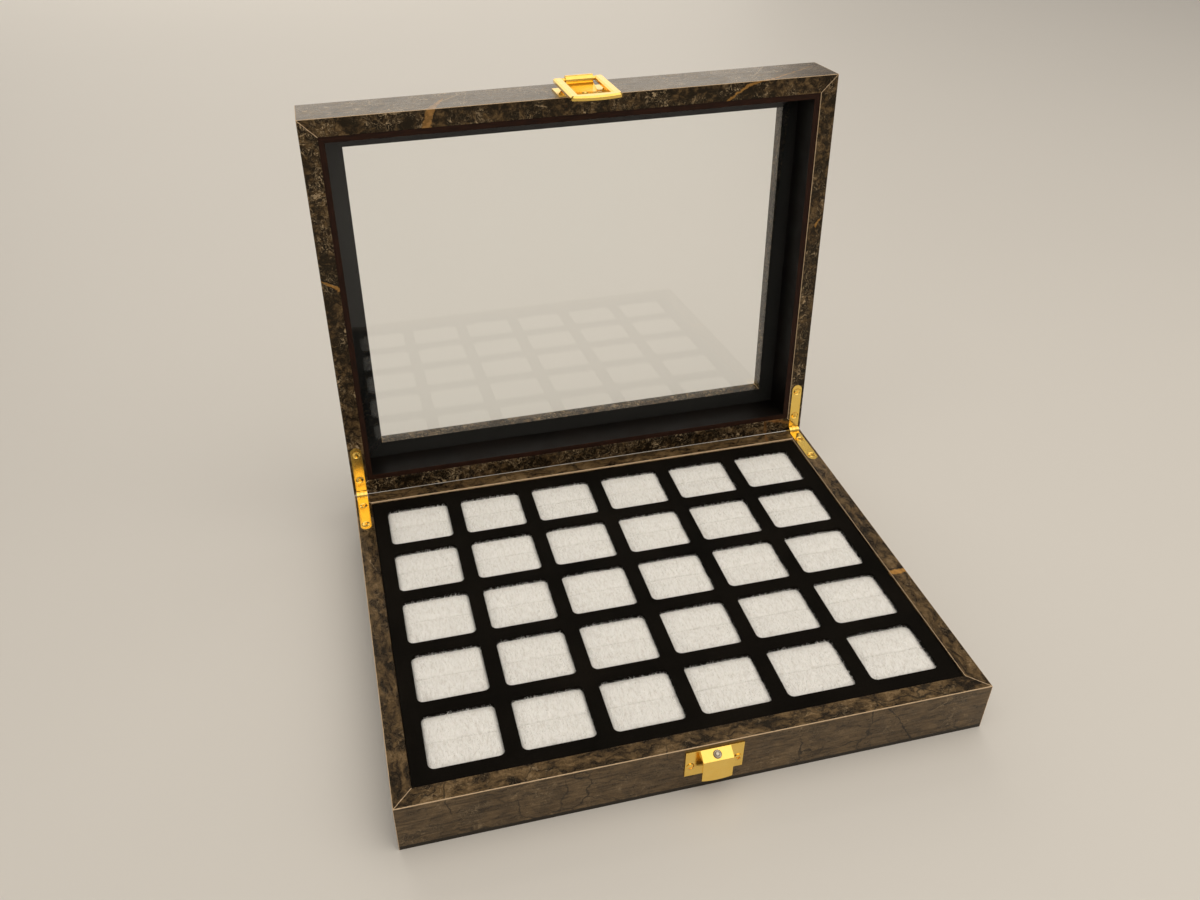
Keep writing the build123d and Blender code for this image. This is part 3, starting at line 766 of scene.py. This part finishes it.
# Ring pads: a plush block under each window, swelling into it in two rolls with a slit between them
pads = {
    "crown": 2.3 * mm,
    "shares": (0.72, 0.28),  # of the crown: what is left at the slit, and the rolls' rise over it
    "squareness": 5,  # how late the crown falls off towards the window's edges
    "shoulder": 1.7 * mm,  # how far the pad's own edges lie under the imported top
    "overlap": 0.2 * mm,  # how far the crown reaches under the board
    "roll": 0.7 * mm,  # how far the rolls turn down where they meet at the slit
    "lip": 1.7 * mm,
    "slitWidth": 0.05 * mm,
    "slitDepth": 11.0 * mm,
    "unevenness": 0.45 * mm,
    "swells": ((1.0, 150, 70), (0.6, 600, 220)),  # strength, and waves in a metre across and deep
    "columns": 36,
    "rows": 40,
    "fill": 0.9,
}
nap = {
    "density": 2.0e6,  # fibres on a square metre
    "length": 1.7 * mm,
    "radius": 0.09 * mm,
    "bend": 260.0,
    "lean": 0.7,
    "sizes": (0.6, 1.25),
    "reach": 1.9 * mm,  # how far under a pad's packed top fibres still grow
}


# Height of a pad's top over its shoulders, for a place in mm from its middle
def padTop(x, y, halfWidth, halfDepth, seed):
    edgeX = max(0.0, 1 - abs(x / halfWidth) ** pads["squareness"])
    edgeY = max(0.0, 1 - abs(y / halfDepth) ** pads["squareness"])
    atSlit, rise = pads["shares"]
    rolls = pads["crown"] * (atSlit + rise * math.sin(math.pi * min(1.0, abs(y) / halfDepth)))
    height = rolls * math.sqrt(edgeX * edgeY)
    if abs(y) < pads["lip"]:
        away = 1 - abs(y) / pads["lip"]
        height -= pads["roll"] * (1 - math.sqrt(1 - away * away))
    swell = sum(
        strength * noise.noise(Vector((x * across, y * deep, seed)))
        for strength, across, deep in pads["swells"]
    )
    return height + pads["unevenness"] * swell * min(1.0, height / pads["crown"] + 0.2)


# Steps across a pad, closer together at the slit and at the window's edges
def padSteps(half, window, count, slit):
    inner = window + pads["overlap"]
    steps = [-half, -inner]
    for step in range(1, count):
        share = -math.cos(math.pi * step / count)
        steps.append(inner * (0.45 * share + 0.55 * (2 * step / count - 1)))
    steps += [inner, half]
    if slit:
        steps = [step for step in steps if abs(step) > 0.5 * pads["lip"]]
        near = [pads["slitWidth"] / 2 * spread for spread in (1.0, 2.2)] + [0.35 * pads["lip"]]
        steps += near + [-step for step in near]
    return sorted(steps)


def addPad(shape, centre, low, high, seed):
    halfWidth, halfDepth = (high.x - low.x) / 2, (high.y - low.y) / 2
    shoulder = high.z - pads["shoulder"]
    across = padSteps(halfWidth, cellWidth / 2, pads["columns"], False)
    deep = padSteps(halfDepth, cellDepth / 2, pads["rows"], True)
    top, base = [], []
    for y in deep:
        top.append([])
        base.append([])
        for x in across:
            height = padTop(x, y, cellWidth / 2 + pads["overlap"], cellDepth / 2 + pads["overlap"], seed)
            top[-1].append(shape.verts.new((centre.x + x, centre.y + y, shoulder + height)))
            base[-1].append(shape.verts.new((centre.x + x, centre.y + y, low.z)))
    columns, rowsDeep = len(across) - 1, len(deep) - 1
    slitRow = len(deep) // 2 - 1  # the strip of faces that lies between the two rolls
    for row in range(rowsDeep):
        for column in range(columns):
            corners = [(row, column), (row, column + 1), (row + 1, column + 1), (row + 1, column)]
            if row != slitRow:
                shape.faces.new([top[r][c] for r, c in corners])
            shape.faces.new([base[r][c] for r, c in reversed(corners)])
    floorHeight = shoulder + pads["crown"] - pads["slitDepth"]
    front = [shape.verts.new((v.co.x, v.co.y, floorHeight)) for v in top[slitRow]]
    back = [shape.verts.new((v.co.x, v.co.y, floorHeight)) for v in top[slitRow + 1]]
    slit = [top[slitRow], front, back, top[slitRow + 1]]
    for column in range(columns):
        for near, far in zip(slit, slit[1:]):
            shape.faces.new([near[column], near[column + 1], far[column + 1], far[column]])
    for column in range(columns):
        shape.faces.new([top[0][column], base[0][column], base[0][column + 1], top[0][column + 1]])
        shape.faces.new([top[-1][column + 1], base[-1][column + 1], base[-1][column], top[-1][column]])
    for edge, order in ((0, 1), (-1, -1)):
        for row in range(rowsDeep):
            wall = [top[row + 1][edge], base[row + 1][edge], base[row][edge], top[row][edge]][::order]
            if row == slitRow:
                wall = [front[edge], back[edge], base[row + 1][edge], base[row][edge]][::order]
            shape.faces.new(wall)


def makeNapTree():
    tree, given, result = newTree("plushNap", Float=[
        "Density", "Length", "Radius", "Bend", "Lean", "Shortest", "Longest",
    ], Int=["Seed"], Material=["Material"])
    fibre = addNode(tree, "GeometryNodeMeshCone", {
        "Vertices": 3, "Side Segments": 1, "Fill Segments": 1, "Radius Top": 0.0,
        "Radius Bottom": given["Radius"], "Depth": given["Length"],
    })
    _, _, rise = separate(tree, addNode(tree, "GeometryNodeInputPosition").outputs[0])
    aside = times(tree, times(tree, rise, rise), given["Bend"])
    bending = {"Geometry": fibre.outputs[0], "Offset": combine(tree, X=aside)}
    bent = addNode(tree, "GeometryNodeSetPosition", bending)
    density = times(tree, namedAttribute(tree, "napShare", "FLOAT"), given["Density"])
    points = addNode(tree, "GeometryNodeDistributePointsOnFaces", {
        "Mesh": given["Geometry"], "Density": density, "Seed": given["Seed"],
    })
    lean = times(tree, given["Lean"], -1.0)
    least = combine(tree, X=lean, Y=lean, Z=0.0)
    most = combine(tree, X=given["Lean"], Y=given["Lean"], Z=2 * math.pi)
    drawn = {0: least, 1: most, "Seed": given["Seed"]}
    turn = addNode(tree, "FunctionNodeRandomValue", drawn, data_type="FLOAT_VECTOR")
    drawn = {2: given["Shortest"], 3: given["Longest"], "Seed": given["Seed"]}
    size = addNode(tree, "FunctionNodeRandomValue", drawn, data_type="FLOAT")
    fibres = addNode(tree, "GeometryNodeInstanceOnPoints", {
        "Points": points.outputs["Points"], "Instance": bent.outputs[0], "Scale": size.outputs[1],
        "Rotation": turned(tree, points.outputs["Rotation"], turn.outputs[0]),
    })
    return endTree(tree, fibres.outputs[0], given, result)


napTree = makeNapTree()
for row in range(cellBoard["deep"]):
    node = f"ring_pads_row_{row + 1}"
    rowLow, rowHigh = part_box(node)
    gaps = cellBoard["across"] - 1
    halfPad = (rowHigh.x - rowLow.x - gaps * pitchAcross) / 2
    shape = bmesh.new()
    for column in range(cellBoard["across"]):
        centre = Vector(((column - gaps / 2) * pitchAcross, (rowLow.y + rowHigh.y) / 2, 0))
        low = Vector((centre.x - halfPad, rowLow.y, rowLow.z))
        high = Vector((centre.x + halfPad, rowHigh.y, rowHigh.z))
        addPad(shape, centre, low, high, row * 7.3 + column * 1.9)
    padRow = pieceFromShape(f"plushPadsRow{row + 1}", shape)
    shadeSmooth(padRow, 60)
    share = padRow.data.attributes.new("napShare", "FLOAT", "POINT")
    lowest = rowHigh.z - nap["reach"]
    share.data.foreach_set("value", [1.0 if v.co.z > lowest else 0.0 for v in padRow.data.vertices])
    dress(padRow, "base", whitePlush, "white_plush", node)
    napRow = newPiece(f"plushNapRow{row + 1}", padRow.data.copy())
    useTree(napRow, napTree, {
        "Density": nap["density"], "Length": nap["length"], "Radius": nap["radius"],
        "Bend": nap["bend"], "Lean": nap["lean"], "Shortest": nap["sizes"][0], "Longest": nap["sizes"][1],
        "Seed": row + 1, "Material": whitePlush,
    })
    dress(napRow, "base", whitePlush, "white_plush")
print("ring pads stuffed")

# Hinge leaves, pins and latch plates, with their edges eased
hardware = {
    "leafEdge": 0.22 * mm,
    "plateEdge": 0.2 * mm,
    "loopEdge": 0.4 * mm,
    "pinEdge": 0.25 * mm,
    "sharpest": 28,  # degrees, the least bend that counts as an edge
}
for hand in ("left", "right"):
    for part in ("base", "lid"):
        node = f"hinge_{hand}_{part}_leaf"
        leaf = cleanCopy(node, f"{hand}Hinge{part.capitalize()}Leaf")
        smoothEdges(leaf, hardware["leafEdge"], 3, hardware["sharpest"])
        dress(leaf, part, goldPlating, "brassed_steel", node)
    node = f"hinge_{hand}_pin"
    pin = smoothEdges(cleanCopy(node, f"{hand}HingePin"), hardware["pinEdge"], 3)
    dress(pin, "base", goldPlating, "brassed_steel", node)
for node, name, body, edge in (
    ("catch_plate", "catchPlate", "base", "plateEdge"),
    ("latch_bracket", "latchBracket", "lid", "plateEdge"),
    ("latch_loop", "latchLoop", "latch_loop", "loopEdge"),
):
    plate = smoothEdges(cleanCopy(node, name), hardware[edge], 3, hardware["sharpest"])
    dress(plate, body, goldPlating, "brassed_steel", node)
print("hardware eased")


# Cross-recess screws, one tree for all of them
def makeScrewTree():
    tree, given, result = newTree("crossScrews", Float=[
        "Head Radius", "Head Rim", "Head Dome", "Recess Length", "Recess Width", "Recess Depth",
        "Shank Radius", "Shank Length",
    ], Int=["Seed"], Material=["Material"])
    head = addNode(tree, "GeometryNodeMeshCylinder", {
        "Vertices": 36, "Side Segments": 1, "Fill Segments": 5, "Radius": given["Head Radius"],
        "Depth": given["Head Rim"],
    }, fill_type="NGON")
    x, y, z = separate(tree, addNode(tree, "GeometryNodeInputPosition").outputs[0])
    radius = vectorMath(tree, "LENGTH", combine(tree, X=x, Y=y))
    share = mathNode(tree, "DIVIDE", radius, given["Head Radius"])
    dome = mathNode(tree, "SUBTRACT", 1.0, mathNode(tree, "POWER", share, 2.4))
    dome = times(tree, dome, given["Head Dome"])
    dome = times(tree, dome, mathNode(tree, "GREATER_THAN", z, 0.0))
    half = times(tree, given["Head Rim"], 0.5)
    domed = addNode(tree, "GeometryNodeSetPosition", {
        "Geometry": head.outputs["Mesh"], "Offset": combine(tree, Z=mathNode(tree, "ADD", dome, half)),
    })
    crown = mathNode(tree, "ADD", given["Head Rim"], given["Head Dome"])
    deep = times(tree, given["Recess Depth"], 2.0)
    bars = []
    for first, second in (("Recess Length", "Recess Width"), ("Recess Width", "Recess Length")):
        bar = {"Size": combine(tree, X=given[first], Y=given[second], Z=deep)}
        bars.append(moved(tree, addNode(tree, "GeometryNodeMeshCube", bar).outputs[0], Z=crown))
    cut = addNode(tree, "GeometryNodeMeshBoolean", {
        "Mesh 1": domed.outputs[0], "Mesh 2": joined(tree, *bars), "Self Intersection": True,
    }, operation="DIFFERENCE", solver="EXACT")
    shank = addNode(tree, "GeometryNodeMeshCylinder", {
        "Vertices": 16, "Radius": given["Shank Radius"], "Depth": given["Shank Length"],
    })
    sunk = times(tree, given["Shank Length"], -0.5)
    screw = joined(tree, cut.outputs[0], moved(tree, shank.outputs["Mesh"], Z=sunk))
    facing = namedAttribute(tree, "facing", "FLOAT_VECTOR")
    aligned = addNode(tree, "FunctionNodeAlignRotationToVector", {"Vector": facing}, axis="Z")
    drawn = {2: 0.0, 3: math.pi, "Seed": given["Seed"]}
    turn = addNode(tree, "FunctionNodeRandomValue", drawn, data_type="FLOAT")
    screws = addNode(tree, "GeometryNodeInstanceOnPoints", {
        "Points": given["Geometry"], "Instance": screw,
        "Rotation": turned(tree, aligned.outputs[0], combine(tree, Z=turn.outputs[1])),
    })
    return endTree(tree, screws.outputs[0], given, result)


screwTree = makeScrewTree()
flatScrews = {
    "Head Radius": 2.0 * mm, "Head Rim": 0.25 * mm, "Head Dome": 0.3 * mm,
    "Recess Length": 2.2 * mm, "Recess Width": 0.5 * mm, "Recess Depth": 0.35 * mm,
    "Shank Radius": 0.95 * mm, "Shank Length": 9.8 * mm,
}
leafScrews = {"spots": (10.5 * mm, 27.5 * mm), "sink": 0.47 * mm, "leafGap": 0.1 * mm}
catchScrews = {
    "Head Radius": 1.85 * mm, "Head Rim": 0.35 * mm, "Head Dome": 0.4 * mm,
    "Recess Length": 2.3 * mm, "Recess Width": 0.5 * mm, "Recess Depth": 0.5 * mm,
    "Shank Radius": 0.95 * mm, "Shank Length": 7.0 * mm,
}
bracketScrews = {**catchScrews, "Head Radius": 1.75 * mm, "Head Rim": 0.5 * mm, "Head Dome": 0.85 * mm}


def placeScrews(name, body, spots, sizes, seed, node):
    mesh = bpy.data.meshes.new(name)
    mesh.from_pydata([spot for spot, _ in spots], [], [])
    storeVector(mesh, "facing", [facing for _, facing in spots])
    screws = newPiece(name, mesh)
    useTree(screws, screwTree, {**sizes, "Seed": seed, "Material": goldPlating})
    shadeSmooth(screws, 35)
    dress(screws, body, goldPlating, "brassed_steel", node)


hingeX = (caseWidth - railThickness) / 2
for part, facing, opening in (("base", -1, Matrix()), ("lid", 1, openLid)):
    outward = opening.to_3x3() @ Vector((0, 0, -facing))
    spots = []
    for x in (-hingeX, hingeX):
        for distance in leafScrews["spots"]:
            shut = Vector((x, hingeLine.y - distance, hingeLine.z + facing * leafScrews["leafGap"]))
            spots.append((opening @ shut - outward * leafScrews["sink"], outward))
    placeScrews(f"{part}HingeScrews", part, spots, flatScrews, 3 + facing, f"hinge_{part}_screws")


# The latch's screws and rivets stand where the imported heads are
def groupMiddles(node, count):
    places = [vertex.co.copy() for vertex in frame["nodes"][node].data.vertices]
    places.sort(key=lambda place: place.x)
    share = len(places) // count
    return [sum(places[i * share:(i + 1) * share], Vector()) / share for i in range(count)]


catchLow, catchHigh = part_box("catch_plate")
plateFace = -caseDepth / 2 - 0.8 * mm  # the outer face of the catch's plate, and of the bracket's when shut
faceOut = Vector((0, -1, 0))
catchSpots = [
    (Vector((middle.x, plateFace, middle.z)), faceOut)
    for middle in groupMiddles("catch_screws", 2)
]
placeScrews("catchScrews", "base", catchSpots, catchScrews, 11, "catch_screws")
lidOut = openLid.to_3x3() @ faceOut
bracketSpots = []
for middle in groupMiddles("latch_bracket_screws", 2):
    shut = shutLid @ middle
    shut.y = plateFace
    bracketSpots.append((openLid @ shut, lidOut))
placeScrews("bracketScrews", "lid", bracketSpots, bracketScrews, 12, "latch_bracket_screws")


# Turned pieces: a profile of (radius, height) spun about its axis
def turnedShape(profile, steps, place):
    shape = bmesh.new()
    rings = []
    for radius, height in profile:
        if radius == 0:
            rings.append([shape.verts.new(place @ Vector((0, 0, height)))] * steps)
            continue
        rings.append([
            shape.verts.new(place @ Vector((radius * math.cos(turn), radius * math.sin(turn), height)))
            for turn in (2 * math.pi * step / steps for step in range(steps))
        ])
    for lower, upper in zip(rings, rings[1:]):
        for step in range(steps):
            after = (step + 1) % steps
            corners = [lower[step], lower[after], upper[after], upper[step]]
            shape.faces.new(list(dict.fromkeys(corners)))
    return shape


# A domed head, with a groove and a raised ring round it where the rivet has one
def rivetProfile(radius, height, ring, shank, length):
    dome = radius - ring
    profile = [(0, height)] + [
        (dome * math.sin(share * math.pi / 2), height * (0.25 + 0.75 * math.cos(share * math.pi / 2)))
        for share in (0.15, 0.3, 0.45, 0.6, 0.75, 0.88, 1.0)
    ]
    if ring:
        groove = 0.05 * height
        profile += [(dome, groove), (dome + 0.35 * ring, groove), (radius - 0.2 * ring, 0.35 * height)]
    return profile + [(radius, 0.2 * height), (radius, 0), (shank, 0), (shank, -length), (0, -length)]


def placeRivet(name, node, body, spot, facing, profile, material, slot):
    place = Matrix.Translation(spot) @ facing.to_track_quat("Z", "Y").to_matrix().to_4x4()
    rivet = pieceFromShape(name, turnedShape(profile, 40, place))
    shadeSmooth(rivet, 50)
    dress(rivet, body, material, slot, node)


catchRivet = {
    "radius": 2.0 * mm, "height": 1.0 * mm, "ring": 0.7 * mm, "shank": 0.78 * mm, "length": 1.4 * mm,
}
bracketRivet = {
    "radius": 1.4 * mm, "height": 0.8 * mm, "ring": 0.0, "shank": 0.78 * mm, "length": 4.0 * mm,
}
ramp = {"reach": 4.8 * mm, "drop": 2.7 * mm, "top": 2.0 * mm}
rampOut = Vector((0, -ramp["drop"], ramp["reach"])).normalized()
rampMiddle = Vector((
    (catchLow.x + catchHigh.x) / 2,
    plateFace - ramp["reach"] / 2,
    baseHeight - ramp["top"] - ramp["drop"] / 2,
))
placeRivet("catchRivet", "catch_rivet", "base", rampMiddle, rampOut,
           rivetProfile(**catchRivet), nickelPlating, "nickel_rivet")
shut = shutLid @ groupMiddles("latch_bracket_rivet", 1)[0]
shut.y = plateFace
placeRivet("bracketRivet", "latch_bracket_rivet", "lid", openLid @ shut, lidOut,
           rivetProfile(**bracketRivet), goldPlating, "brassed_steel")
print("screws and rivets placed")

# Studio
studio = {
    "floorSize": 40.0,
    "floorColour": (0.75, 0.725, 0.69),
    "lampColour": (1.0, 0.93, 0.82),
    "lamps": [
        {"name": "overhead", "at": (0.3, -0.45, 1.35), "size": 2.4, "power": 21.5},
        {"name": "back", "at": (0.0, 1.9, 0.95), "size": 2.0, "power": 12.0},
    ],
    "aim": Vector((0, 0.03, 0.08)),
    "airTones": [(0.0, (0.84, 0.78, 0.71)), (0.4, (0.80, 0.75, 0.69)), (1.0, (0.52, 0.49, 0.45))],
    "airStrength": 0.41,
}
camera = {
    "at": (-0.1289, -0.3857, 0.4067),
    "turn": (55.01, 0.74, -13.24),
    "focal": 31.24,
    "shift": (0.0351, -0.0135),
}


def buildStudio():
    floorShape = bmesh.new()
    bmesh.ops.create_grid(floorShape, x_segments=1, y_segments=1, size=studio["floorSize"] / 2)
    floor = pieceFromShape("floor", floorShape)
    material, tree, shader, place = newMaterial("paleFloor", Roughness=0.5)
    pale = studio["floorColour"]
    tone = mixColour(tree, noiseAt(tree, place, 2.0), pale, tuple(0.96 * value for value in pale))
    feed(tree, shader, Base_Color=tone)
    floor.data.materials.append(material)
    for lamp in studio["lamps"]:
        light = bpy.data.lights.new(lamp["name"], "AREA")
        light.size = lamp["size"]
        light.color = studio["lampColour"]
        light.energy = lamp["power"]
        holder = newPiece(lamp["name"], light)
        holder.location = lamp["at"]
        holder.visible_camera = False
        holder.rotation_euler = (studio["aim"] - holder.location).to_track_quat("-Z", "Y").to_euler()
    world = bpy.data.worlds.new("studioAir")
    world.use_nodes = True
    bpy.context.scene.world = world
    tree = world.node_tree
    sky = tree.nodes["Background"]
    _, _, rise = separate(tree, addNode(tree, "ShaderNodeTexCoord").outputs["Generated"])
    tree.links.new(colourRamp(tree, rise, studio["airTones"]), sky.inputs["Color"])
    sky.inputs["Strength"].default_value = studio["airStrength"]


def buildCamera():
    lens = bpy.data.cameras.new("photoCamera")
    lens.lens = camera["focal"]
    lens.shift_x, lens.shift_y = camera["shift"]
    lens.clip_start = 0.01
    holder = newPiece("photoCamera", lens)
    holder.location = camera["at"]
    holder.rotation_euler = Euler([math.radians(angle) for angle in camera["turn"]])
    bpy.context.scene.camera = holder


buildStudio()
buildCamera()
bpy.context.scene.view_settings.view_transform = "Standard"  # keeps the gold's colour
print("studio lit")
